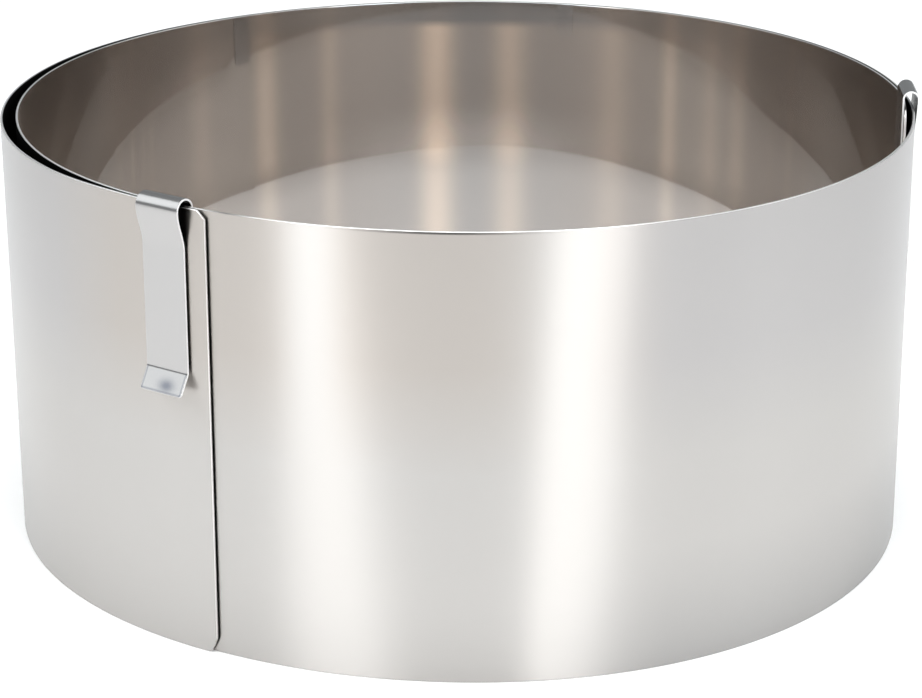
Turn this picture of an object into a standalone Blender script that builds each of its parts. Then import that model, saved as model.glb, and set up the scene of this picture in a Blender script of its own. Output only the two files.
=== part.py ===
"""Adjustable cake ring.

One long strip of stainless sheet is wound into a ring whose ends overlap, and two
spring clips are pushed over the rim, one beside each end of the strip, to hold the
layers together. Pulling the clips off lets the strip slide on itself, so the ring
can be set to another diameter.

Azimuths are seen from above: 0 is the front of the ring (-Y), and they grow
towards the right (+X). Turn angles run along the strip, from its outer end.
"""
import math

import bmesh
import bpy
from mathutils import Vector

MM = 0.001

# The strip and the ring that it is wound into
RING_DIAMETER = 177.2 * MM
RING_HEIGHT = 85.0 * MM
STRIP_THICKNESS = 0.5 * MM
COLUMN_TURN = math.radians(2.5)

# The cut corners at both ends of the strip
UPPER_CUT_WIDTH = 1.7 * MM
UPPER_CUT_HEIGHT = 1.55 * MM
LOWER_CUT_WIDTH = 1.7 * MM
LOWER_CUT_HEIGHT = 3.1 * MM
LOWER_CUT_BOW = 1.5
CUT_SHARES = (0.0, 0.25, 0.5, 0.75, 1.0)

# Where the two ends of the strip lie, and how far it runs under itself
OUTER_END_AZIMUTH = math.radians(-30.5)
INNER_END_AZIMUTH = math.radians(85.0)
FULL_TURN = 2 * math.pi

# How the springy strip departs from a round ring
OVAL_DEPTH = 1.0 * MM
LOBE_DEPTH = 0.5 * MM
LOBES = 3
LAYER_GAP = 0.4 * MM
TUCK_TURN = math.radians(60.0)
SLACK_GAP = 1.8 * MM
SLACK_AZIMUTH = math.radians(-86.0)
SLACK_SPREAD = math.radians(33.5)
END_STANDOFF = 0.7 * MM
END_STANDOFF_SPREAD = math.radians(10.0)

# How far the outer layer's rim leans out, beyond the outer end's clip: the turns
# from the outer end where the lean starts and where it fades, and how long each takes
RIM_FLARE = 0.87 * MM
RIM_FLARE_START = math.radians(11.0)
RIM_FLARE_RISE = math.radians(15.5)
RIM_FLARE_FALL_START = math.radians(30.0)
RIM_FLARE_FALL = math.radians(45.0)

# The two spring clips, each bent from one narrow strip. Their depths are
# measured down from the top of the crown that goes over the rim.
CLIP_WIDTH = 9.5 * MM
CLIP_THICKNESS = 0.4 * MM
CLIP_CLEARANCE = 0.3 * MM
CLIP_INNER_LEG = 52.0 * MM
CLIP_PINCH_DEPTH = 10.3 * MM
CLIP_OUTER_LEG = 32.5 * MM
CLIP_LIP_RADIUS = 4.3 * MM
CLIP_CORNER_RADIUS = 0.7 * MM
CROWN_STEPS = 12
NECK_STEPS = 10
LIP_STEPS = 6
CORNER_STEPS = 3

# How far each clip sits from its end of the strip, how high its crown stands over
# the rim, how far its loop bellies out in front of the straight outer leg, and how
# far its lip turns out. The two clips are alike, but the inner end's clip spans a
# thicker stack, which pulls its belly and its lip in.
OUTER_CLIP_SETBACK = 4.1 * MM
OUTER_CLIP_CROWN = 1.7 * MM
OUTER_CLIP_BELLY = 1.9 * MM
OUTER_CLIP_FLARE = math.radians(56.0)
INNER_CLIP_SETBACK = 0.6 * MM
INNER_CLIP_CROWN = 3.7 * MM
INNER_CLIP_BELLY = 0.4 * MM
INNER_CLIP_FLARE = math.radians(41.0)

STRIP_COLOUR = (0.60, 0.58, 0.56, 1.0)
STRIP_ROUGHNESS = 0.22
CLIP_COLOUR = (0.70, 0.71, 0.74, 1.0)
CLIP_ROUGHNESS = 0.12
SMOOTH_ANGLE = math.radians(30.0)


def smooth_rise(share):
    """0 to 1 with no kink at either end."""
    share = min(max(share, 0.0), 1.0)
    return share * share * (3.0 - 2.0 * share)


def bump(angle, spread):
    """A bell of height 1 about angle 0, which repeats every full turn."""
    angle = (angle + math.pi) % FULL_TURN - math.pi
    return math.exp(-((angle / spread) ** 2))


def strip_turn():
    """The turn angle from the outer end of the strip to its inner end."""
    return FULL_TURN + (OUTER_END_AZIMUTH - INNER_END_AZIMUTH) % FULL_TURN


def ring_radius(azimuth):
    """The outer face of the ring's outer layer."""
    oval = -OVAL_DEPTH * math.cos(2.0 * azimuth)
    lobes = LOBE_DEPTH * math.sin(LOBES * azimuth)
    return RING_DIAMETER / 2.0 + oval + lobes


def strip_radius(turn):
    """The outer face of the strip after this much turn from its outer end."""
    azimuth = OUTER_END_AZIMUTH - turn
    tucked = smooth_rise((turn - FULL_TURN + TUCK_TURN) / TUCK_TURN)
    slack = SLACK_GAP * bump(azimuth - SLACK_AZIMUTH, SLACK_SPREAD)
    inset = (STRIP_THICKNESS + LAYER_GAP + slack) * tucked
    to_end = (strip_turn() - turn) / END_STANDOFF_SPREAD
    standoff = END_STANDOFF * (1.0 - smooth_rise(to_end))
    return ring_radius(azimuth) - inset - standoff


def plan_point(azimuth, radius):
    return Vector((radius * math.sin(azimuth), -radius * math.cos(azimuth), 0.0))


def rim_flare(turn):
    """How far the strip's rim stands out from its foot after this much turn."""
    rise = smooth_rise((turn - RIM_FLARE_START) / RIM_FLARE_RISE)
    fall = smooth_rise((turn - RIM_FLARE_FALL_START) / RIM_FLARE_FALL)
    return RIM_FLARE * rise * (1.0 - fall)


def strip_point(turn, flare=0.0):
    return plan_point(OUTER_END_AZIMUTH - turn, strip_radius(turn) + flare)


def turn_at(azimuth, layer):
    """The turn angle where layer 0, 1, ... of the strip passes this azimuth."""
    return (OUTER_END_AZIMUTH - azimuth) % FULL_TURN + layer * FULL_TURN


def collection_named(name):
    collection = bpy.data.collections.new(name)
    bpy.context.scene.collection.children.link(collection)
    return collection


def metal(name, colour, roughness):
    material = bpy.data.materials.new(name)
    material.use_nodes = True
    shader = material.node_tree.nodes["Principled BSDF"]
    shader.inputs["Base Color"].default_value = colour
    shader.inputs["Metallic"].default_value = 1.0
    shader.inputs["Roughness"].default_value = roughness
    return material


def sheet_object(name, bm, thickness, offset, material, collection):
    """An open surface made into sheet metal of one thickness."""
    mesh = bpy.data.meshes.new(name)
    bm.to_mesh(mesh)
    bm.free()
    mesh.materials.append(material)
    mesh.shade_smooth()
    mesh.set_sharp_from_angle(angle=SMOOTH_ANGLE)
    obj = bpy.data.objects.new(name, mesh)
    collection.objects.link(obj)
    solidify = obj.modifiers.new("sheet", "SOLIDIFY")
    solidify.thickness = thickness
    solidify.offset = offset
    solidify.use_even_offset = True
    return obj


def extruded_chain(points, sweep):
    """The surface that a chain of points leaves as it moves along sweep."""
    bm = bmesh.new()
    chain = [bm.verts.new(point) for point in points]
    edges = [bm.edges.new(pair) for pair in zip(chain, chain[1:])]
    swept = bmesh.ops.extrude_edge_only(bm, edges=edges)["geom"]
    moved = [item for item in swept if isinstance(item, bmesh.types.BMVert)]
    bmesh.ops.translate(bm, verts=moved, vec=sweep)
    return bm, chain, moved


def end_distance(turn):
    """How far along the strip this turn angle lies from the nearer end."""
    return min(turn, strip_turn() - turn) * RING_DIAMETER / 2.0


def cut_share(turn, width):
    """1 at the very end of the strip, falling to 0 where its corner cut starts."""
    return 1.0 - min(end_distance(turn) / width, 1.0)


def lower_edge(turn):
    return LOWER_CUT_HEIGHT * cut_share(turn, LOWER_CUT_WIDTH) ** LOWER_CUT_BOW


def upper_edge(turn):
    return RING_HEIGHT - UPPER_CUT_HEIGHT * cut_share(turn, UPPER_CUT_WIDTH)


def strip_columns():
    """The turn angles of the strip's upright mesh lines, close together at its ends."""
    total = strip_turn()
    widths = (UPPER_CUT_WIDTH, LOWER_CUT_WIDTH)
    near = {2.0 * width * share / RING_DIAMETER for width in widths for share in CUT_SHARES}
    first = max(near)
    steps = math.ceil((total - 2.0 * first) / COLUMN_TURN)
    middle = [first + (total - 2.0 * first) * i / steps for i in range(1, steps)]
    return sorted(near) + middle + sorted(total - turn for turn in near)


def make_band(material, collection):
    """The wound strip, walked from its outer end in, so its faces look outwards."""
    turns = strip_columns()
    rise = Vector((0.0, 0.0, RING_HEIGHT))
    bm, lower, upper = extruded_chain([strip_point(turn) for turn in turns], rise)
    for turn, low in zip(turns, lower):
        high = next(e.other_vert(low) for e in low.link_edges if e.other_vert(low) in upper)
        high.co = strip_point(turn, rim_flare(turn))
        low.co.z = lower_edge(turn)
        high.co.z = upper_edge(turn)
    return sheet_object("ring_band", bm, STRIP_THICKNESS, -1.0, material, collection)


def clip_place(azimuth):
    """The rim point in the middle of a clip, and the heading of the wall there."""
    half = math.asin(CLIP_WIDTH / RING_DIAMETER)
    before, after = (
        plan_point(azimuth + side, strip_radius(turn_at(azimuth + side, 0)))
        for side in (-half, half)
    )
    along = after - before
    middle = plan_point(azimuth, strip_radius(turn_at(azimuth, 0)))
    return middle, math.atan2(along.y, along.x)


def layers_depth(azimuth):
    """From the wall's outer face to the inner face of the inner layer, at a clip."""
    middle, heading = clip_place(azimuth)
    outward = Vector((math.sin(heading), -math.cos(heading), 0.0))
    half = math.asin(CLIP_WIDTH / RING_DIAMETER)
    depths = []
    for side in (-half, 0.0, half):
        turn = min(turn_at(azimuth + side, 1), strip_turn())
        depths.append((middle - strip_point(turn)).dot(outward))
    return max(depths) + STRIP_THICKNESS


def clip_profile(azimuth, crown, belly, flare):
    """The clip's bent line, from the foot of its inner leg over the rim to its lip.

    The first number of a pair is the distance in front of the outer wall, and the
    second is the height over the rim.
    """
    half_sheet = CLIP_THICKNESS / 2.0
    outer_leg = CLIP_CLEARANCE + half_sheet
    inner_leg = -(layers_depth(azimuth) + CLIP_CLEARANCE + half_sheet)
    front = outer_leg + belly
    radius = (front - inner_leg) / 2.0
    spring_line = crown - half_sheet - radius
    points = [(inner_leg, crown - CLIP_INNER_LEG)]
    for i in range(CROWN_STEPS + 1):
        angle = math.pi * i / CROWN_STEPS
        across = inner_leg + radius * (1.0 - math.cos(angle))
        points.append((across, spring_line + radius * math.sin(angle)))
    pinch = crown - CLIP_PINCH_DEPTH
    for i in range(1, NECK_STEPS + 1):
        share = i / NECK_STEPS
        swell = belly * (1.0 + math.cos(math.pi * share)) / 2.0
        points.append((outer_leg + swell, spring_line + (pinch - spring_line) * share))
    for i in range(LIP_STEPS + 1):
        angle = flare * i / LIP_STEPS
        across = outer_leg + CLIP_LIP_RADIUS * (1.0 - math.cos(angle))
        points.append((across, crown - CLIP_OUTER_LEG - CLIP_LIP_RADIUS * math.sin(angle)))
    return points


def make_clip(name, azimuth, shape, material, collection):
    """A spring clip astride the rim. Its own y axis points into the ring."""
    middle, heading = clip_place(azimuth)
    line = [
        Vector((-CLIP_WIDTH / 2.0, -across, height))
        for across, height in clip_profile(azimuth, *shape)
    ]
    bm, _, _ = extruded_chain(line, Vector((CLIP_WIDTH, 0.0, 0.0)))
    bmesh.ops.bevel(
        bm,
        geom=[v for v in bm.verts if len(v.link_edges) == 2],
        affect="VERTICES",
        offset=CLIP_CORNER_RADIUS,
        segments=CORNER_STEPS,
        profile=0.5,
        clamp_overlap=True,
    )
    obj = sheet_object(name, bm, CLIP_THICKNESS, 0.0, material, collection)
    obj.location = middle + Vector((0.0, 0.0, RING_HEIGHT))
    obj.rotation_euler = (0.0, 0.0, heading)
    return obj


def clip_azimuth(end_azimuth, side, setback):
    """The middle of a clip beside an end of the strip; side is -1 left, 1 right."""
    return end_azimuth + side * 2.0 * (setback + CLIP_WIDTH / 2.0) / RING_DIAMETER


def clear_scene():
    for obj in list(bpy.data.objects):
        bpy.data.objects.remove(obj, do_unlink=True)


def main():
    clear_scene()
    parts = collection_named("adjustable_cake_ring")
    strip_steel = metal("strip_steel", STRIP_COLOUR, STRIP_ROUGHNESS)
    clip_steel = metal("clip_steel", CLIP_COLOUR, CLIP_ROUGHNESS)
    band = make_band(strip_steel, parts)
    outer_place = clip_azimuth(OUTER_END_AZIMUTH, -1, OUTER_CLIP_SETBACK)
    inner_place = clip_azimuth(INNER_END_AZIMUTH, 1, INNER_CLIP_SETBACK)
    outer_shape = (OUTER_CLIP_CROWN, OUTER_CLIP_BELLY, OUTER_CLIP_FLARE)
    inner_shape = (INNER_CLIP_CROWN, INNER_CLIP_BELLY, INNER_CLIP_FLARE)
    clips = (
        make_clip("outer_end_clip", outer_place, outer_shape, clip_steel, parts),
        make_clip("inner_end_clip", inner_place, inner_shape, clip_steel, parts),
    )
    for clip in clips:
        clip.parent = band


main()
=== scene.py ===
"""The finished look of an adjustable cake ring, laid out as a Blender add-on.

One long steel strip is wound into a ring and two spring clips hold its ends. The
strip is built again at the CAD model's places with rolled edges and many more
columns, so that it mirrors cleanly, and so are the clips.

Azimuths are seen from above: 0 is the front of the ring (-Y), and they grow
towards the right (+X). Turn angles run along the strip, from its outer end.
"""
import math

import bmesh
import bpy
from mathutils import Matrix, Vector


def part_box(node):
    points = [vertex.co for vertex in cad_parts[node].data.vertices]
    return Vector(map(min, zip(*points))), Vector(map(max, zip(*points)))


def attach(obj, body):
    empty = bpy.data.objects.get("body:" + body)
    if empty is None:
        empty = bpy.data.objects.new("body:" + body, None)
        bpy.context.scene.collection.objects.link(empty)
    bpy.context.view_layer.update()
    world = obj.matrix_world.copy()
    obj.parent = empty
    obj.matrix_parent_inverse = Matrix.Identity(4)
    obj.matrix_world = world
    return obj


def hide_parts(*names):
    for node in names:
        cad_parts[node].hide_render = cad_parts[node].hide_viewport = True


bl_info = {
    "name": "Adjustable Cake Ring",
    "version": (1, 0, 0),
    "blender": (4, 5, 0),
    "location": "3D View > Sidebar > Cake Ring",
    "description": "Builds the strip, the spring clips and the studio of a cake ring",
    "category": "Object",
}

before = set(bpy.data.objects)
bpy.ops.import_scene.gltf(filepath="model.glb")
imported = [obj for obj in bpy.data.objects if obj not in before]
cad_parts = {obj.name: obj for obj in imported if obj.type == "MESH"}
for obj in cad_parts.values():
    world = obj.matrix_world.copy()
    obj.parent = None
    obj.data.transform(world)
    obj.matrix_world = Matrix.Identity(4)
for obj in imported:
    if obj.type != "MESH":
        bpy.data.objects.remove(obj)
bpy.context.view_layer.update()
BAND_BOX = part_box("ring_band")

MM = 0.001
DEGREE = math.radians(1.0)
FULL_TURN = 2.0 * math.pi

# The mesh of the strip and of the clips.
CUT_SHARES = (0.0, 0.25, 0.5, 0.75, 1.0)
COVER_TURN = 1.5 * DEGREE
EDGE_SEGMENTS = 3
SHARP_ANGLE = 50.0 * DEGREE
CORNER_SEGMENTS = 6
CROWN_STEPS = 32
NECK_STEPS = 24
LIP_STEPS = 8
# Where the three materials of each part of the strip start: front, back and edge.
ONE_LAYER = 0
INNER_LAYER = 3
OUTER_LAYER = 6

# Where the painted light and shade in the steel change. A pair is the middle and half width of
# a soft band, or where a ramp starts, or ends if it falls, and its span. Angles are azimuths
# outside and for FRONT_BAND, and angles from the back for the rest of the inside.
RIGHT_SIDE = (10.0 * DEGREE, 15.0 * DEGREE)
LEFT_SIDE = (-44.0 * DEGREE, 12.0 * DEGREE)
BEFORE_BACK = (140.0 * DEGREE, 50.0 * DEGREE)
# The bright bands are where the softboxes are mirrored; the painted shade high up leaves them
# out.
BRIGHT_BANDS = ((-17.6 * DEGREE, 3.7 * DEGREE), (11.9 * DEGREE, 5.4 * DEGREE))
UPPER_PART = (40.0 * MM, 20.0 * MM)
OUTSIDE_FOOT = (24.0 * MM, 24.0 * MM)
FOOT_SHARE = 0.6
SHADED_BAND = (-2.0 * DEGREE, 8.0 * DEGREE)
SHADED_DEPTH = 0.55 * MM
SHADED_FADE = 0.1 * MM
FAR_BAND = (0.0, 20.0 * DEGREE)
SIDE_BAND = (84.0 * DEGREE, 30.0 * DEGREE)
BELOW_RIM = (80.0 * MM, 12.0 * MM)
FRONT_BAND = (0.0, 50.0 * DEGREE)
INSIDE_FOOT = (16.0 * MM, 16.0 * MM)
# How far from square a face may be looked at before its streaks fade, and over how much.
SQUARE_VIEW = (0.45, 0.2)
# Painted reflections of lights, as lighter streaks inside: middle, half width and strength.
STREAK_REFLECTIONS = (
    (-4.0 * DEGREE, 2.6 * DEGREE, 1.0),
    (7.1 * DEGREE, 2.6 * DEGREE, 0.62),
    (-20.5 * DEGREE, 1.7 * DEGREE, 0.30),
    (22.8 * DEGREE, 2.7 * DEGREE, 0.30),
    (-30.7 * DEGREE, 1.9 * DEGREE, 0.45),
    (32.0 * DEGREE, 1.4 * DEGREE, 0.36),
    (39.0 * DEGREE, 1.6 * DEGREE, 0.15),
    (44.0 * DEGREE, 1.6 * DEGREE, 0.18),
    (-42.0 * DEGREE, 2.0 * DEGREE, 0.12),
)
STREAK_RISE = (46.0 * MM, 4.0 * MM)
LOW_STREAKS = 0.55
# The painted dark reflection below the rim at the back inside.
RIM_BAND = (0.0, 24.0 * DEGREE)
RIM_RISE = (79.0 * MM, 2.6 * MM)
RIM_GAIN = 1.5
RIM_SHARE = 0.9
# Where the inside leans a little: middle, half width and slope.
LEANS = (
    (8.0 * DEGREE, 18.0 * DEGREE, 0.0064),
    (-42.0 * DEGREE, 16.0 * DEGREE, -0.006),
)
LEAN_HEIGHT = 58.0 * MM
# The painted shade on the edge right of the outer end, and on the edge in the loop of its
# clip.
GREY_EDGE = (-28.0 * DEGREE, 2.4 * DEGREE)
LOOP_LEFT = -39.5 * DEGREE
LOOP_RIGHT = -33.5 * DEGREE
LOOP_FADE = 0.4 * DEGREE

# The painted dark reflection on a clip's lip and the painted shade along its edges, and the
# fade of the painted shade in its loop.
LIP_REFLECTION_ACROSS = (0.9 * MM, 1.7 * MM)
LIP_REFLECTION_HALF_HEIGHT = 1.0 * MM
LIP_REFLECTION_SHARE = 0.85
OUTLINE = (0.35 * MM, 0.16 * MM)
OUTLINE_SHARE = 0.5
MARK_FADE = 0.3 * MM
LOOP_SHADE_FADE = 1.5 * MM

# The duller gloss that is mixed into the steel: its share, how far it is drawn out, and
# the turn that draws it out upright.
OUTSIDE_HAZE = 0.55
OUTSIDE_STRETCH = 0.97
INSIDE_HAZE = 0.085
INSIDE_STRETCH = 0.9
UPRIGHT = 0.25

# Places of sockets that share a name or have none: the two colours and the result of a
# Mix node, and how far a Layer Weight node finds a face turned away.
MIX_COLOURS = slice(6, 8)
MIX_RESULT = 2
FACING = 1

# The softboxes: azimuth, elevation and distance from the ring, width and height, watts,
# and tint.
WHITE = (1.0, 1.0, 1.0)
COOL = (0.94, 0.98, 1.0)
SOFTBOXES = {
    "left_front_softbox": (-36.5, 25.0, 1.3, (0.32, 1.0), 6.3, WHITE),
    "right_front_softbox": (28.7, 25.0, 1.3, (0.42, 1.0), 8.0, WHITE),
    "left_side_softbox": (-88.0, 40.0, 1.2, (0.9, 0.8), 3.7, COOL),
    "right_side_softbox": (95.0, 40.0, 1.2, (0.9, 0.8), 3.7, COOL),
    "top_softbox": (0.0, 88.0, 0.9, (0.6, 0.6), 7.2, WHITE),
}
LIGHT_TARGET = (0.0, 0.0, 0.04)
SENSOR_WIDTH = 36.0
NEAREST_SEEN = 10.0 * MM


def length(name, description, default):
    """A length that the sidebar shows."""
    return bpy.props.FloatProperty(
        name=name, description=description, default=default, unit="LENGTH"
    )


def angle(name, description, degrees):
    """An angle that the sidebar shows."""
    return bpy.props.FloatProperty(
        name=name, description=description, default=math.radians(degrees), subtype="ANGLE"
    )


def share(name, description, default):
    """A number from 0 to 1."""
    return bpy.props.FloatProperty(
        name=name, description=description, default=default,
        min=0.0, max=1.0, subtype="FACTOR",
    )


def strength(name, description, default):
    """A number that is 0 or more."""
    return bpy.props.FloatProperty(
        name=name, description=description, default=default, min=0.0
    )


def colour(name, description, default):
    """A colour that the sidebar shows."""
    return bpy.props.FloatVectorProperty(
        name=name, description=description, default=default,
        size=3, subtype="COLOR", min=0.0, max=1.0,
    )


def place(name, description, default):
    """A place in the scene."""
    return bpy.props.FloatVectorProperty(
        name=name, description=description, default=default,
        size=3, subtype="XYZ", unit="LENGTH",
    )


class StripSettings(bpy.types.PropertyGroup):
    """The wound strip: its sheet, its path and its two steel faces."""

    diameter: length("Diameter", "Across the outer layer", 177.2 * MM)
    height: length("Height", "Width of the strip", BAND_BOX[1].z - BAND_BOX[0].z)
    thickness: length("Thickness", "Thickness of the sheet", 0.5 * MM)
    edge_radius: length("Edge radius", "Rounding of the sheared edges", 0.18 * MM)
    upper_cut_width: length("Upper cut width", "Upper corner cut along the strip", 1.7 * MM)
    upper_cut_height: length("Upper cut height", "Upper corner cut down the end", 1.55 * MM)
    lower_cut_width: length("Lower cut width", "Lower corner cut along the strip", 1.7 * MM)
    lower_cut_height: length("Lower cut height", "Lower corner cut up the end", 3.1 * MM)
    outer_end: angle("Outer end", "Azimuth of the outer end", -30.5)
    inner_end: angle("Inner end", "Azimuth of the inner end", 85.0)
    oval: length("Oval", "How far the ring is squeezed front to back", 1.0 * MM)
    lobes: length("Lobes", "Height of the ring's three soft lobes", 0.5 * MM)
    layer_gap: length("Layer gap", "Gap between the layers", 0.22 * MM)
    tuck: angle("Tuck", "Turn in which the strip steps inside itself", 60.0)
    slack: length("Slack", "Extra gap between the layers at the left", 1.8 * MM)
    slack_azimuth: angle("Slack azimuth", "Where that gap is widest", -86.0)
    slack_spread: angle("Slack spread", "How far that gap reaches", 33.5)
    standoff: length("End standoff", "How far the inner end springs in", 0.7 * MM)
    standoff_spread: angle("Standoff spread", "Turn over which it springs in", 10.0)
    flare: length("Rim flare", "How far the rim leans out at the left", 0.87 * MM)
    flare_start: angle("Flare start", "Turn from the outer end to where the lean starts", 11.0)
    flare_rise: angle("Flare rise", "Turn in which the lean grows", 15.5)
    flare_fall_start: angle("Flare fall start", "Turn to where the lean starts to fade", 30.0)
    flare_fall: angle("Flare fall", "Turn in which the lean fades", 45.0)
    column: angle("Column", "Turn between two upright mesh lines", 1.0)
    bulge: length("Bulge", "How far the foot of the front seems to swell", 2.0 * MM)
    bulge_azimuth: angle("Bulge azimuth", "Middle of the swelling", 3.0)
    bulge_spread: angle("Bulge spread", "How far the swelling reaches", 14.0)
    outside_colour: colour("Outside", "Steel outside, low down", (0.505, 0.488, 0.47))
    # Painted shade outside: darker high up, a little less at the sides, and darker at the foot
    # of the right side.
    upper_painted_shade: colour("Upper outside", "Steel outside, high up", (0.468, 0.434, 0.403))
    beside_painted_shade: colour("Upper sides", "The same at the sides", (0.47, 0.455, 0.448))
    right_foot_painted_shade: colour("Foot", "Steel at the foot of the right side", (0.39, 0.385, 0.38))
    shaded_colour: colour("Shaded", "Steel right below the rim", (0.12, 0.115, 0.11))
    inside_colour: colour("Inside", "Steel inside", (0.355, 0.335, 0.32))
    # Painted light inside: brighter at the back, at the sides and towards the foot of the
    # front.
    far_painted_light: colour("Far inside", "Steel inside, at the back", (0.395, 0.39, 0.385))
    side_painted_light: colour("Side inside", "Steel inside, at the sides", (0.53, 0.5, 0.47))
    front_foot_painted_light: colour("Inside foot", "The foot of the front", (1.0, 0.96, 0.93))
    streak_painted_reflection: colour("Streaks", "Steel in the streaks inside", (0.94, 0.79, 0.66))
    rim_painted_reflection: colour("Inside rim", "Steel near the rim", (0.225, 0.255, 0.28))
    # Painted shade between the layers and on the edges in the clip's loop.
    overlap_painted_shade: colour("Overlap", "Steel between the layers", (0.06, 0.06, 0.06))
    edge_colour: colour("Edge", "Sheared edges", (0.82, 0.81, 0.80))
    # Painted shade on the edges right of the outer end.
    edge_painted_shade: colour("Grey edge", "Edges by the outer end", (0.25, 0.24, 0.23))
    haze_colour: colour("Haze", "Steel where its polish is duller", (0.92, 0.77, 0.66))
    outside_gloss: share("Outside gloss", "Roughness of the smoother outside", 0.24)
    outside_roughness: share("Outside roughness", "Roughness of the satin outside", 0.38)
    inside_roughness: share("Inside roughness", "Roughness of the polished inside", 0.03)
    haze_roughness: share("Haze roughness", "Roughness of the inside's haze", 0.6)
    edge_roughness: share("Edge roughness", "Roughness of the sheared edges", 0.4)
    overlap_roughness: share("Overlap roughness", "Roughness between the layers", 0.3)


class ClipSettings(bpy.types.PropertyGroup):
    """The two spring clips, bent alike and spread over different stacks."""

    width: length("Width", "Width of the clip's strip", 9.5 * MM)
    thickness: length("Thickness", "Thickness of the clip's strip", 0.4 * MM)
    outer_clearance: length("Outer clearance", "Gap between its clip and the band", 0.3 * MM)
    inner_clearance: length("Inner clearance", "Gap between its clip and the band", 0.06 * MM)
    inner_leg: length("Inner leg", "Crown to the foot of the inner leg", 52.0 * MM)
    outer_leg: length("Outer leg", "Crown to the start of the lip", 32.2 * MM)
    pinch: length("Pinch", "Crown to where the outer leg meets the wall", 9.6 * MM)
    lip_radius: length("Lip radius", "Bend radius of the lip", 1.2 * MM)
    lip_length: length("Lip length", "Length of the lip past its bend", 4.15 * MM)
    corner_radius: length("Corner radius", "Rounding of the strip's corners", 0.7 * MM)
    edge_radius: length("Edge radius", "Rounding of the strip's edges", 0.08 * MM)
    outer_setback: length("Outer setback", "From the outer end to its clip", 4.1 * MM)
    outer_crown: length("Outer crown", "Its clip's height over the rim", 1.7 * MM)
    outer_belly: length("Outer belly", "Swell of its clip's loop", 1.5 * MM)
    outer_flare: angle("Outer flare", "Turn of its clip's lip", 30.0)
    inner_setback: length("Inner setback", "From the inner end to its clip", 0.6 * MM)
    inner_crown: length("Inner crown", "Its clip's height over the rim", 3.7 * MM)
    inner_belly: length("Inner belly", "Swell of its clip's loop", 0.4 * MM)
    inner_flare: angle("Inner flare", "Turn of its clip's lip", 22.0)
    steel_colour: colour("Steel", "Spring steel of the clips", (0.422, 0.412, 0.407))
    # Painted shade inside the clips' loops.
    loop_painted_shade: colour("Hidden", "Steel inside the clips' loops", (0.04, 0.04, 0.04))
    # Painted dark reflection on the lip, and painted shade along its edges.
    lip_painted_reflection: colour("Reflection", "Darker patch on the lip", (0.14, 0.15, 0.18))
    edge_colour: colour("Edge", "Sheared edges of the clips", (0.85, 0.85, 0.85))
    roughness: share("Roughness", "Roughness of the clips", 0.23)
    edge_metal: share("Edge metal", "How metallic the bright edges look", 0.3)
    edge_roughness: share("Edge roughness", "Roughness of the bright edges", 0.45)


class StudioSettings(bpy.types.PropertyGroup):
    """The floor, the lights and the camera."""

    camera: place("Camera", "Where the camera stands", (2.4 * MM, -560.3 * MM, 234.0 * MM))
    pitch: angle("Pitch", "How far the camera looks down", 19.78)
    yaw: angle("Yaw", "How far the camera turns left", 0.25)
    lens: strength("Lens", "Focal length on a 36 mm wide sensor, in mm", 113.7)
    floor_size: length("Floor", "Width of the floor", 12.0)
    floor_colour: colour("Floor colour", "Pale paper", (0.93, 0.93, 0.93))
    floor_roughness: share("Floor roughness", "Roughness of the paper", 0.9)
    room_colour: colour("Room colour", "Light of the room itself", (0.92, 0.97, 1.0))
    room_strength: strength("Room strength", "Strength of the room's own light", 0.36)
    mirror_images: bpy.props.IntProperty(
        name="Mirror images", description="How often the wall mirrors itself",
        default=12, min=1,
    )


def smooth_rise(value):
    """0 to 1 with no kink at either end."""
    value = min(max(value, 0.0), 1.0)
    return value * value * (3.0 - 2.0 * value)


def bump(offset, spread):
    """A bell of height 1 about angle 0, which repeats every full turn."""
    offset = (offset + math.pi) % FULL_TURN - math.pi
    return math.exp(-((offset / spread) ** 2))


def plan_point(azimuth, radius):
    """A point on the floor, by its azimuth and its distance from the middle."""
    return Vector((radius * math.sin(azimuth), -radius * math.cos(azimuth), 0.0))


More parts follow.
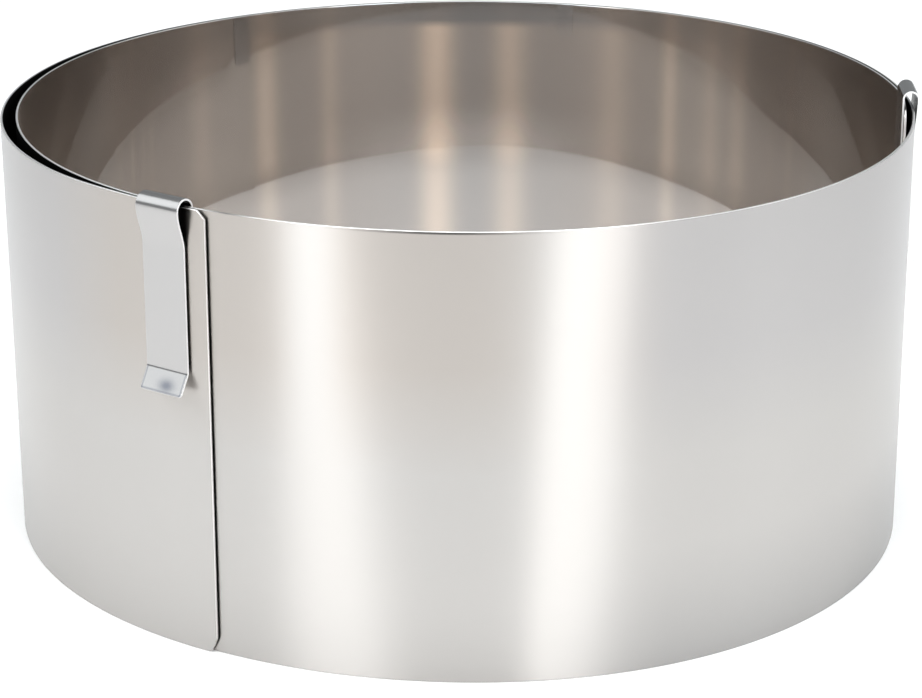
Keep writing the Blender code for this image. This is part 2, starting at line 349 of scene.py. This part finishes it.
class StripPath:
    """Where the strip runs, seen from above."""

    def __init__(self, strip):
        self.strip = strip
        self.total = FULL_TURN + (strip.outer_end - strip.inner_end) % FULL_TURN

    def radius(self, turn):
        """The outer face of the strip after this much turn from its outer end."""
        strip = self.strip
        azimuth = strip.outer_end - turn
        ring = strip.diameter / 2.0 - strip.oval * math.cos(2.0 * azimuth)
        ring += strip.lobes * math.sin(3.0 * azimuth)
        tucked = smooth_rise((turn - FULL_TURN + strip.tuck) / strip.tuck)
        slack = strip.slack * bump(azimuth - strip.slack_azimuth, strip.slack_spread)
        inset = (strip.thickness + strip.layer_gap + slack) * tucked
        to_end = (self.total - turn) / strip.standoff_spread
        return ring - inset - strip.standoff * (1.0 - smooth_rise(to_end))

    def rim_flare(self, turn):
        """How far the strip's rim stands out from its foot after this much turn."""
        strip = self.strip
        grown = smooth_rise((turn - strip.flare_start) / strip.flare_rise)
        faded = smooth_rise((turn - strip.flare_fall_start) / strip.flare_fall)
        return strip.flare * grown * (1.0 - faded)

    def point(self, turn, flare=0.0):
        """The strip's outer face on the floor, moved outwards by its flare."""
        return plan_point(self.strip.outer_end - turn, self.radius(turn) + flare)

    def turn_at(self, azimuth, layer):
        """The turn where layer 0, 1, ... of the strip passes this azimuth."""
        return (self.strip.outer_end - azimuth) % FULL_TURN + layer * FULL_TURN

    def cut_share(self, turn, width):
        """1 at the very end of the strip, falling to 0 where its corner cut starts."""
        distance = min(turn, self.total - turn) * self.strip.diameter / 2.0
        return 1.0 - min(distance / width, 1.0)

    def lower_edge(self, turn):
        """The height of the strip's lower edge."""
        cut = self.cut_share(turn, self.strip.lower_cut_width)
        return self.strip.lower_cut_height * cut * math.sqrt(cut)

    def upper_edge(self, turn):
        """The height of the strip's upper edge."""
        cut = self.cut_share(turn, self.strip.upper_cut_width)
        return self.strip.height - self.strip.upper_cut_height * cut

    def columns(self):
        """The turns of the upright mesh lines, close together at the strip's ends."""
        strip = self.strip
        widths = (strip.upper_cut_width, strip.lower_cut_width)
        near = {2.0 * w * s / strip.diameter for w in widths for s in CUT_SHARES}
        first = max(near)
        steps = math.ceil((self.total - 2.0 * first) / strip.column)
        step = (self.total - 2.0 * first) / steps
        middle = [first + step * i for i in range(1, steps)]
        return sorted(near) + middle + sorted(self.total - turn for turn in near)


def extruded_chain(points, sweep):
    """The surface that a chain of points leaves as it moves along sweep."""
    bm = bmesh.new()
    chain = [bm.verts.new(point) for point in points]
    edges = [bm.edges.new(pair) for pair in zip(chain, chain[1:])]
    swept = bmesh.ops.extrude_edge_only(bm, edges=edges)["geom"]
    moved = [item for item in swept if isinstance(item, bmesh.types.BMVert)]
    bmesh.ops.translate(bm, verts=moved, vec=sweep)
    return bm, chain, moved


def sheet_metal(name, bm, thickness, offset, edge_radius, materials):
    """An open surface made into sheet metal with rounded edges, as a plain mesh.

    The first material is for the face that the surface's normals point to, the
    second for the other face, and the third for the sheared edges between them.
    """
    mesh = bpy.data.meshes.new(name)
    bm.to_mesh(mesh)
    bm.free()
    for material in materials:
        mesh.materials.append(material)
    mesh.shade_smooth()
    obj = bpy.data.objects.new(name, mesh)
    bpy.context.scene.collection.objects.link(obj)
    solidify = obj.modifiers.new("sheet", "SOLIDIFY")
    solidify.thickness = thickness
    solidify.offset = offset
    solidify.use_even_offset = True
    solidify.material_offset = 1
    solidify.material_offset_rim = 2
    rounding = obj.modifiers.new("rolled edges", "BEVEL")
    rounding.width = edge_radius
    rounding.segments = EDGE_SEGMENTS
    rounding.limit_method = "ANGLE"
    rounding.angle_limit = SHARP_ANGLE
    rounding.harden_normals = True
    bpy.context.view_layer.update()
    graph = bpy.context.evaluated_depsgraph_get()
    finished = bpy.data.meshes.new_from_object(obj.evaluated_get(graph), depsgraph=graph)
    obj.modifiers.clear()
    obj.data = finished
    finished.name = name
    return obj


class Node:
    """A shader socket on which sums are written as Python expressions."""

    def __init__(self, tree, socket):
        self.tree = tree
        self.socket = socket

    def math(self, operation, *others):
        """A Math node that works on this socket and others."""
        node = self.tree.nodes.new("ShaderNodeMath")
        node.operation = operation
        for slot, value in zip(node.inputs, (self, *others)):
            connect(self.tree, slot, value)
        return Node(self.tree, node.outputs[0])

    def clamp(self):
        """The value held between 0 and 1."""
        return self.math("MINIMUM", 1.0).math("MAXIMUM", 0.0)

    def __add__(self, other):
        return self.math("ADD", other)

    def __sub__(self, other):
        return self.math("SUBTRACT", other)

    def __mul__(self, other):
        return self.math("MULTIPLY", other)

    def __truediv__(self, other):
        return self.math("DIVIDE", other)

    def __rsub__(self, other):
        return (self * -1.0) + other

    __radd__ = __add__
    __rmul__ = __mul__


def connect(tree, slot, value):
    """Links a socket, or sets its value if the value is a plain one."""
    if isinstance(value, Node):
        tree.links.new(value.socket, slot)
    else:
        slot.default_value = value


class Surface:
    """One material with its Principled shader."""

    def __init__(self, name):
        self.material = bpy.data.materials.new(name)
        self.material.use_nodes = True
        self.tree = self.material.node_tree
        self.shader = self.tree.nodes["Principled BSDF"]

    def add(self, kind, settings=None, output=0, **inputs):
        """Any node: its type, its settings, and its inputs by name."""
        node = self.tree.nodes.new(kind)
        for key, value in (settings or {}).items():
            setattr(node, key, value)
        for key, value in inputs.items():
            connect(self.tree, node.inputs[key.replace("_", " ")], value)
        return Node(self.tree, node.outputs[output])

    def mix(self, factor, first, second):
        """A colour between two others."""
        mixed = self.add("ShaderNodeMix", {"data_type": "RGBA"}, MIX_RESULT, Factor=factor)
        for slot, value in zip(mixed.socket.node.inputs[MIX_COLOURS], (first, second)):
            connect(self.tree, slot, value if isinstance(value, Node) else (*value, 1.0))
        return mixed

    def parts(self, coordinates):
        """The three numbers of one of the texture coordinates."""
        spot = self.add("ShaderNodeTexCoord", output=coordinates)
        split = self.add("ShaderNodeSeparateXYZ", Vector=spot).socket.node
        return [Node(self.tree, output) for output in split.outputs]

    def set(self, **inputs):
        """Values or links for the Principled shader's inputs."""
        for key, value in inputs.items():
            connect(self.tree, self.shader.inputs[key.replace("_", " ")], value)

    def haze(self, factor, **inputs):
        """A second, wider steel lobe, mixed in by this factor."""
        lobe = self.add("ShaderNodeBsdfPrincipled", **inputs)
        sheen = Node(self.tree, self.shader.outputs[0])
        mixed = self.add("ShaderNodeMixShader")
        for slot, value in zip(mixed.socket.node.inputs, (factor, sheen, lobe)):
            connect(self.tree, slot, value)
        output = self.tree.nodes["Material Output"]
        connect(self.tree, output.inputs["Surface"], mixed)


def bell(value, middle, half_width):
    """A bell of height 1 over a socket's value."""
    offset = (value - middle) / half_width
    return (offset * offset * -1.0).math("EXPONENT")


def rise(value, start, span):
    """0 up to the start, and then up to 1 within the span."""
    return ((value - start) / span).clamp()


def fall(value, end, span):
    """1, falling to 0 within the span before the end."""
    return ((end - value) / span).clamp()


def outside_steel(strip):
    """Satin steel, a little more bent at the foot of the front than at its rim, with painted
    shade high up, at the foot of the right side and right below the rim.
    """
    surface = Surface("satin_outside")
    x, y, z = surface.parts("Object")
    around = x.math("ARCTAN2", y * -1.0)
    swelling = bell(around, strip.bulge_azimuth, strip.bulge_spread) * strip.bulge
    swelling = swelling * (1.0 - z / strip.height)
    relief = surface.add("ShaderNodeBump", Distance=1.0, Height=swelling)
    # Painted shade: darker high up, a little less at the sides, but not in the bright bands
    # where the softboxes are mirrored.
    right = rise(around, *RIGHT_SIDE)
    left = fall(around, *LEFT_SIDE)
    upper = surface.mix(right + left, strip.upper_painted_shade, strip.beside_painted_shade)
    high = rise(z, *UPPER_PART)
    for middle, half_width in BRIGHT_BANDS:
        high = high * (1.0 - bell(around, middle, half_width))
    tint = surface.mix(high, strip.outside_colour, upper)
    # Painted shade at the foot of the right side.
    foot = right * fall(around, *BEFORE_BACK) * fall(z, *OUTSIDE_FOOT)
    tint = surface.mix(foot * FOOT_SHARE, tint, strip.right_foot_painted_shade)
    shaded = rise(z, strip.height - SHADED_DEPTH, SHADED_FADE)
    shaded = bell(around, *SHADED_BAND) * shaded
    tint = surface.mix(shaded, tint, strip.shaded_colour)
    surface.set(
        Base_Color=tint, Metallic=1.0, Roughness=strip.outside_gloss, Normal=relief
    )
    surface.haze(
        OUTSIDE_HAZE,
        Base_Color=tint,
        Metallic=1.0,
        Roughness=strip.outside_roughness,
        Anisotropic=OUTSIDE_STRETCH,
        Anisotropic_Rotation=UPRIGHT,
        Normal=relief,
    )
    return surface.material


def painted_streaks(away):
    """The painted reflections as upright streaks, by the angle from the back."""
    streaks = 0.0
    for middle, half_width, depth in STREAK_REFLECTIONS:
        streaks = bell(away, middle, half_width) * depth + streaks
    return streaks


def inside_tint(surface, strip):
    """The inside's colour, with painted light at the back, at the sides below the rim and
    towards the foot of the front, painted reflections of lights as upright streaks, and a
    painted dark reflection under the rim.

    The streaks and the strip under the rim show where they are looked at squarely,
    and not in the wall's mirror images of itself, which it sees at a low angle.
    """
    x, y, z = surface.parts("Object")
    away = x.math("ARCTAN2", y)
    # Painted light: brighter at the back, at the sides below the rim and towards the foot of
    # the front.
    tint = surface.mix(bell(away, *FAR_BAND), strip.inside_colour, strip.far_painted_light)
    beside = bell(away.math("ABSOLUTE"), *SIDE_BAND) * fall(z, *BELOW_RIM)
    tint = surface.mix(beside, tint, strip.side_painted_light)
    foot = fall(z, *INSIDE_FOOT)
    front = bell(x.math("ARCTAN2", y * -1.0), *FRONT_BAND)
    tint = surface.mix(foot * foot * front, tint, strip.front_foot_painted_light)
    facing = surface.add("ShaderNodeLayerWeight", output=FACING, Blend=0.5)
    square = fall(facing, *SQUARE_VIEW)
    # Painted reflections of lights as upright streaks, fainter low down.
    high = rise(z, *STREAK_RISE) * (1.0 - LOW_STREAKS) + LOW_STREAKS
    streaks = (painted_streaks(away) * square * high).clamp()
    tint = surface.mix(streaks, tint, strip.streak_painted_reflection)
    # Painted dark reflection below the rim at the back.
    near_rim = bell(away, *RIM_BAND) * rise(z, *RIM_RISE)
    near_rim = (near_rim * RIM_GAIN).clamp() * RIM_SHARE
    return surface.mix(near_rim * square, tint, strip.rim_painted_reflection)


def inside_relief(surface):
    """The slight leans of the wall, which bend its mirror images."""
    x, y, z = surface.parts("Object")
    away = x.math("ARCTAN2", y)
    lean = 0.0
    for middle, half_width, slope in LEANS:
        lean = bell(away, middle, half_width) * slope + lean
    return surface.add("ShaderNodeBump", Distance=1.0, Height=(z - LEAN_HEIGHT) * lean)


def inside_steel(strip):
    """Polished steel with painted light, painted reflections as upright streaks, and a faint
    haze.
    """
    surface = Surface("polished_inside")
    relief = inside_relief(surface)
    surface.set(
        Base_Color=inside_tint(surface, strip),
        Metallic=1.0,
        Roughness=strip.inside_roughness,
        Normal=relief,
    )
    surface.haze(
        INSIDE_HAZE,
        Base_Color=(*strip.haze_colour, 1.0),
        Metallic=1.0,
        Roughness=strip.haze_roughness,
        Anisotropic=INSIDE_STRETCH,
        Anisotropic_Rotation=UPRIGHT,
        Normal=relief,
    )
    return surface.material


def rim_steel(strip):
    """The sheared edges, with painted shade right of the outer end, darker towards the top,
    and in its clip's loop.
    """
    surface = Surface("sheared_edge")
    x, y, z = surface.parts("Object")
    around = x.math("ARCTAN2", y * -1.0)
    # Painted shade on the edges right of the outer end, darker towards the top.
    grey = bell(around, *GREY_EDGE) * (z / strip.height)
    tint = surface.mix(grey, strip.edge_colour, strip.edge_painted_shade)
    # Painted shade on the edges in the clip's loop.
    in_loop = fall(around, LOOP_RIGHT, LOOP_FADE) * rise(around, LOOP_LEFT, LOOP_FADE)
    tint = surface.mix(in_loop, tint, strip.overlap_painted_shade)
    surface.set(Base_Color=tint, Metallic=1.0, Roughness=strip.edge_roughness)
    return surface.material


def plain_steel(name, tint, roughness, metal=1.0):
    """Steel of one tint, for edges and for the painted shade between the layers."""
    surface = Surface(name)
    surface.set(Base_Color=(*tint, 1.0), Metallic=metal, Roughness=roughness)
    return surface.material


class CAKERING_OT_band(bpy.types.Operator):
    """Winds the strip, with its cut corners and rolled edges"""

    bl_idname = "cakering.band"
    bl_label = "Wind the Strip"

    def execute(self, context):
        strip = context.scene.cakering_strip
        path = StripPath(strip)
        turns = path.columns()
        upwards = Vector((0.0, 0.0, strip.height))
        bm, lower, upper = extruded_chain([path.point(turn) for turn in turns], upwards)
        tops = set(upper)
        for turn, low in zip(turns, lower):
            neighbours = [edge.other_vert(low) for edge in low.link_edges]
            high = next(vert for vert in neighbours if vert in tops)
            high.co = path.point(turn, path.rim_flare(turn))
            low.co.z = path.lower_edge(turn)
            high.co.z = path.upper_edge(turn)
        self.part_faces(bm, dict(zip(lower, turns)), path.total)
        outside = outside_steel(strip)
        inside = inside_steel(strip)
        edge = rim_steel(strip)
        # Painted shade on the faces hidden between the layers.
        between = plain_steel(
            "painted_shade_between_layers", strip.overlap_painted_shade, strip.overlap_roughness
        )
        one_layer = (outside, inside, edge)
        inner_layer = (between, inside, edge)
        outer_layer = (outside, between, edge)
        band = sheet_metal(
            "wound_strip", bm, strip.thickness, -1.0, strip.edge_radius,
            one_layer + inner_layer + outer_layer,
        )
        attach(band, "ring")
        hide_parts("ring_band")
        return {"FINISHED"}

    def part_faces(self, bm, turn_of, total):
        """Tells the layers of the overlap from the part where one layer stands alone."""
        for face in bm.faces:
            turns = [turn_of[vert] for vert in face.verts if vert in turn_of]
            middle = sum(turns) / len(turns)
            if middle > FULL_TURN + COVER_TURN:
                face.material_index = INNER_LAYER
            elif middle < total - FULL_TURN - COVER_TURN:
                face.material_index = OUTER_LAYER
            else:
                face.material_index = ONE_LAYER


class ClipShape:
    """The bent line of a clip, and where it sits on the rim."""

    def __init__(self, path, clip, end, side, setback, clearance, crown, belly, flare):
        strip = path.strip
        self.path = path
        self.clip = clip
        self.clearance = clearance
        self.crown = crown
        self.belly = belly
        self.flare = flare
        self.azimuth = end + side * 2.0 * (setback + clip.width / 2.0) / strip.diameter
        self.half = math.asin(clip.width / strip.diameter)
        self.middle = self.rim(0, 0.0)
        chord = self.rim(0, self.half) - self.rim(0, -self.half)
        self.along = chord.normalized()
        self.outward = Vector((self.along.y, -self.along.x, 0.0))

    def rim(self, layer, shift):
        """A point of one of the layers, a little left or right of the clip's middle."""
        turn = self.path.turn_at(self.azimuth + shift, layer)
        return self.path.point(min(turn, self.path.total))

    def layers_depth(self):
        """From the wall's outer face to the inner face of the inner layer."""
        depths = [
            (self.middle - self.rim(1, shift)).dot(self.outward)
            for shift in (-self.half, 0.0, self.half)
        ]
        return max(depths) + self.path.strip.thickness

    def profile(self):
        """Pairs of the distance in front of the outer wall and the height over the rim."""
        clip = self.clip
        half_sheet = clip.thickness / 2.0
        outer_leg = self.clearance + half_sheet
        inner_leg = -(self.layers_depth() + self.clearance + half_sheet)
        front = outer_leg + self.belly
        radius = (front - inner_leg) / 2.0
        spring_line = self.crown - half_sheet - radius
        points = [(inner_leg, self.crown - clip.inner_leg)]
        for i in range(CROWN_STEPS + 1):
            turn = math.pi * i / CROWN_STEPS
            across = inner_leg + radius * (1.0 - math.cos(turn))
            points.append((across, spring_line + radius * math.sin(turn)))
        pinch = self.crown - clip.pinch
        for i in range(1, NECK_STEPS + 1):
            part = i / NECK_STEPS
            swell = self.belly * (1.0 + math.cos(math.pi * part)) / 2.0
            points.append((outer_leg + swell, spring_line + (pinch - spring_line) * part))
        for i in range(LIP_STEPS + 1):
            turn = self.flare * i / LIP_STEPS
            across = outer_leg + clip.lip_radius * (1.0 - math.cos(turn))
            drop = clip.outer_leg + clip.lip_radius * math.sin(turn)
            points.append((across, self.crown - drop))
        across += clip.lip_length * math.sin(self.flare)
        drop += clip.lip_length * math.cos(self.flare)
        points.append((across, self.crown - drop))
        return points

    def line(self):
        """The bent line in place, along the clip's left edge."""
        corner = self.middle - self.along * (self.clip.width / 2.0)
        corner.z = self.path.strip.height
        return [
            corner + self.outward * across + Vector((0.0, 0.0, height))
            for across, height in self.profile()
        ]

    def lip_heights(self):
        """The heights at which the lip starts and ends."""
        clip = self.clip
        start = self.path.strip.height + self.crown - clip.outer_leg
        bend = clip.lip_radius * math.sin(self.flare)
        return start, start - bend - clip.lip_length * math.cos(self.flare)


def spring_steel(shape, name):
    """The outward face of a clip, with a painted dark reflection on its lip and painted shade
    along the lip's sides and end.
    """
    clip = shape.clip
    surface = Surface(name + "_steel")
    x, y, z = surface.parts("Object")
    across = x * shape.along.x + y * shape.along.y - shape.middle.dot(shape.along)
    beyond = x * shape.outward.x + y * shape.outward.y - shape.middle.dot(shape.outward)
    on_outer_leg = rise(beyond, 0.0, MARK_FADE)
    lip_start, lip_end = shape.lip_heights()
    # Painted dark reflection on the lip.
    lip_reflection = bell(across, *LIP_REFLECTION_ACROSS)
    lip_reflection = lip_reflection * bell(z, (lip_start + 2.0 * lip_end) / 3.0, LIP_REFLECTION_HALF_HEIGHT)
    # Painted shade along the lip's sides and end.
    from_side = clip.width / 2.0 - across.math("ABSOLUTE")
    outline = bell(from_side, *OUTLINE) + bell(z - lip_end, *OUTLINE)
    outline = outline * fall(z, lip_start, MARK_FADE) * on_outer_leg
    outline = (outline * OUTLINE_SHARE).clamp()
    tint = surface.mix(outline, clip.steel_colour, clip.lip_painted_reflection)
    lip_reflection = lip_reflection * on_outer_leg * LIP_REFLECTION_SHARE
    tint = surface.mix(lip_reflection, tint, clip.lip_painted_reflection)
    surface.set(Base_Color=tint, Metallic=1.0, Roughness=clip.roughness)
    return surface.material


def loop_steel(shape, name):
    """The face of a clip towards the wall, with painted shade inside the loop."""
    clip = shape.clip
    surface = Surface(name + "_inner_steel")
    _, _, z = surface.parts("Object")
    pinch = shape.path.strip.height + shape.crown - clip.pinch
    # Painted shade inside the loop, above the pinch.
    in_loop = rise(z, pinch, LOOP_SHADE_FADE)
    tint = surface.mix(in_loop, clip.steel_colour, clip.loop_painted_shade)
    surface.set(Base_Color=tint, Metallic=1.0, Roughness=clip.roughness)
    return surface.material


class CAKERING_OT_clips(bpy.types.Operator):
    """Bends the two spring clips over the rim"""

    bl_idname = "cakering.clips"
    bl_label = "Bend the Clips"

    def execute(self, context):
        strip = context.scene.cakering_strip
        clip = context.scene.cakering_clips
        path = StripPath(strip)
        outer = ClipShape(
            path, clip, strip.outer_end, -1, clip.outer_setback, clip.outer_clearance,
            clip.outer_crown, clip.outer_belly, clip.outer_flare,
        )
        inner = ClipShape(
            path, clip, strip.inner_end, 1, clip.inner_setback, clip.inner_clearance,
            clip.inner_crown, clip.inner_belly, clip.inner_flare,
        )
        for name, shape, body, node in (
            ("outer_end_spring_clip", outer, "outer_clip", "outer_end_clip"),
            ("inner_end_spring_clip", inner, "inner_clip", "inner_end_clip"),
        ):
            self.bend(name, shape, body, node)
        return {"FINISHED"}

    def bend(self, name, shape, body, node):
        """Bends one clip and puts it in its node's place."""
        clip = shape.clip
        edge_name = name + "_edge"
        finish = (
            loop_steel(shape, name),
            spring_steel(shape, name),
            plain_steel(edge_name, clip.edge_colour, clip.edge_roughness, clip.edge_metal),
        )
        bm, _, _ = extruded_chain(shape.line(), shape.along * clip.width)
        bmesh.ops.bevel(
            bm,
            geom=[v for v in bm.verts if len(v.link_edges) == 2],
            affect="VERTICES",
            offset=clip.corner_radius,
            segments=CORNER_SEGMENTS,
            profile=0.5,
            clamp_overlap=True,
            material=-1,
        )
        obj = sheet_metal(name, bm, clip.thickness, 0.0, clip.edge_radius, finish)
        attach(obj, body)
        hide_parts(node)


def softbox(name, azimuth, elevation, distance, size, power, tint):
    """A softbox that faces the ring from an azimuth and elevation in degrees."""
    data = bpy.data.lights.new(name, "AREA")
    data.shape = "RECTANGLE"
    data.size, data.size_y = size
    data.energy = power
    data.color = tint
    light = bpy.data.objects.new(name, data)
    upwards = math.radians(elevation)
    centre = plan_point(math.radians(azimuth), distance * math.cos(upwards))
    centre.z = distance * math.sin(upwards)
    light.location = centre
    towards = Vector(LIGHT_TARGET) - centre
    light.rotation_euler = towards.to_track_quat("-Z", "Y").to_euler()
    bpy.context.scene.collection.objects.link(light)


class CAKERING_OT_studio(bpy.types.Operator):
    """Lays the pale floor and sets the lights and the camera"""

    bl_idname = "cakering.studio"
    bl_label = "Set the Studio"

    def execute(self, context):
        studio = context.scene.cakering_studio
        self.lay_floor(studio)
        self.light_room(context.scene, studio)
        self.set_camera(context.scene, studio)
        return {"FINISHED"}

    def lay_floor(self, studio):
        """A sheet of pale paper."""
        bm = bmesh.new()
        bmesh.ops.create_grid(bm, x_segments=1, y_segments=1, size=studio.floor_size / 2.0)
        mesh = bpy.data.meshes.new("paper_floor")
        bm.to_mesh(mesh)
        bm.free()
        paper = Surface("floor_paper")
        paper.set(
            Base_Color=(*studio.floor_colour, 1.0), Roughness=studio.floor_roughness
        )
        mesh.materials.append(paper.material)
        floor = bpy.data.objects.new("paper_floor", mesh)
        bpy.context.scene.collection.objects.link(floor)

    def light_room(self, scene, studio):
        """The room's own dim light and the softboxes."""
        world = bpy.data.worlds.new("dim_room")
        world.use_nodes = True
        background = world.node_tree.nodes["Background"]
        background.inputs["Color"].default_value = (*studio.room_colour, 1.0)
        background.inputs["Strength"].default_value = studio.room_strength
        scene.world = world
        scene.view_settings.view_transform = "Standard"
        scene.cycles.glossy_bounces = studio.mirror_images
        for name, placing in SOFTBOXES.items():
            softbox(name, *placing)

    def set_camera(self, scene, studio):
        """The camera at the photograph's angle."""
        data = bpy.data.cameras.new("photo_camera")
        data.sensor_width = SENSOR_WIDTH
        data.lens = studio.lens
        data.clip_start = NEAREST_SEEN
        camera = bpy.data.objects.new("photo_camera", data)
        camera.location = studio.camera
        camera.rotation_euler = (math.pi / 2.0 - studio.pitch, 0.0, studio.yaw)
        scene.collection.objects.link(camera)
        scene.camera = camera


class CAKERING_PT_sidebar(bpy.types.Panel):
    """Sizes, colours and build buttons of the cake ring"""

    bl_label = "Cake Ring"
    bl_idname = "CAKERING_PT_sidebar"
    bl_space_type = "VIEW_3D"
    bl_region_type = "UI"
    bl_category = "Cake Ring"

    def draw(self, context):
        sections = (
            (CAKERING_OT_band, StripSettings, context.scene.cakering_strip),
            (CAKERING_OT_clips, ClipSettings, context.scene.cakering_clips),
            (CAKERING_OT_studio, StudioSettings, context.scene.cakering_studio),
        )
        for operator, settings_type, settings in sections:
            box = self.layout.box()
            box.operator(operator.bl_idname)
            for key in settings_type.__annotations__:
                box.prop(settings, key)


CLASSES = (
    StripSettings,
    ClipSettings,
    StudioSettings,
    CAKERING_OT_band,
    CAKERING_OT_clips,
    CAKERING_OT_studio,
    CAKERING_PT_sidebar,
)


def register():
    for cls in CLASSES:
        bpy.utils.register_class(cls)
    scene_type = bpy.types.Scene
    scene_type.cakering_strip = bpy.props.PointerProperty(type=StripSettings)
    scene_type.cakering_clips = bpy.props.PointerProperty(type=ClipSettings)
    scene_type.cakering_studio = bpy.props.PointerProperty(type=StudioSettings)


def unregister():
    scene_type = bpy.types.Scene
    del scene_type.cakering_strip, scene_type.cakering_clips, scene_type.cakering_studio
    for cls in reversed(CLASSES):
        bpy.utils.unregister_class(cls)


def main():
    register()
    bpy.ops.cakering.band()
    bpy.ops.cakering.clips()
    bpy.ops.cakering.studio()
    bpy.context.view_layer.update()


if __name__ == "__main__":
    main()
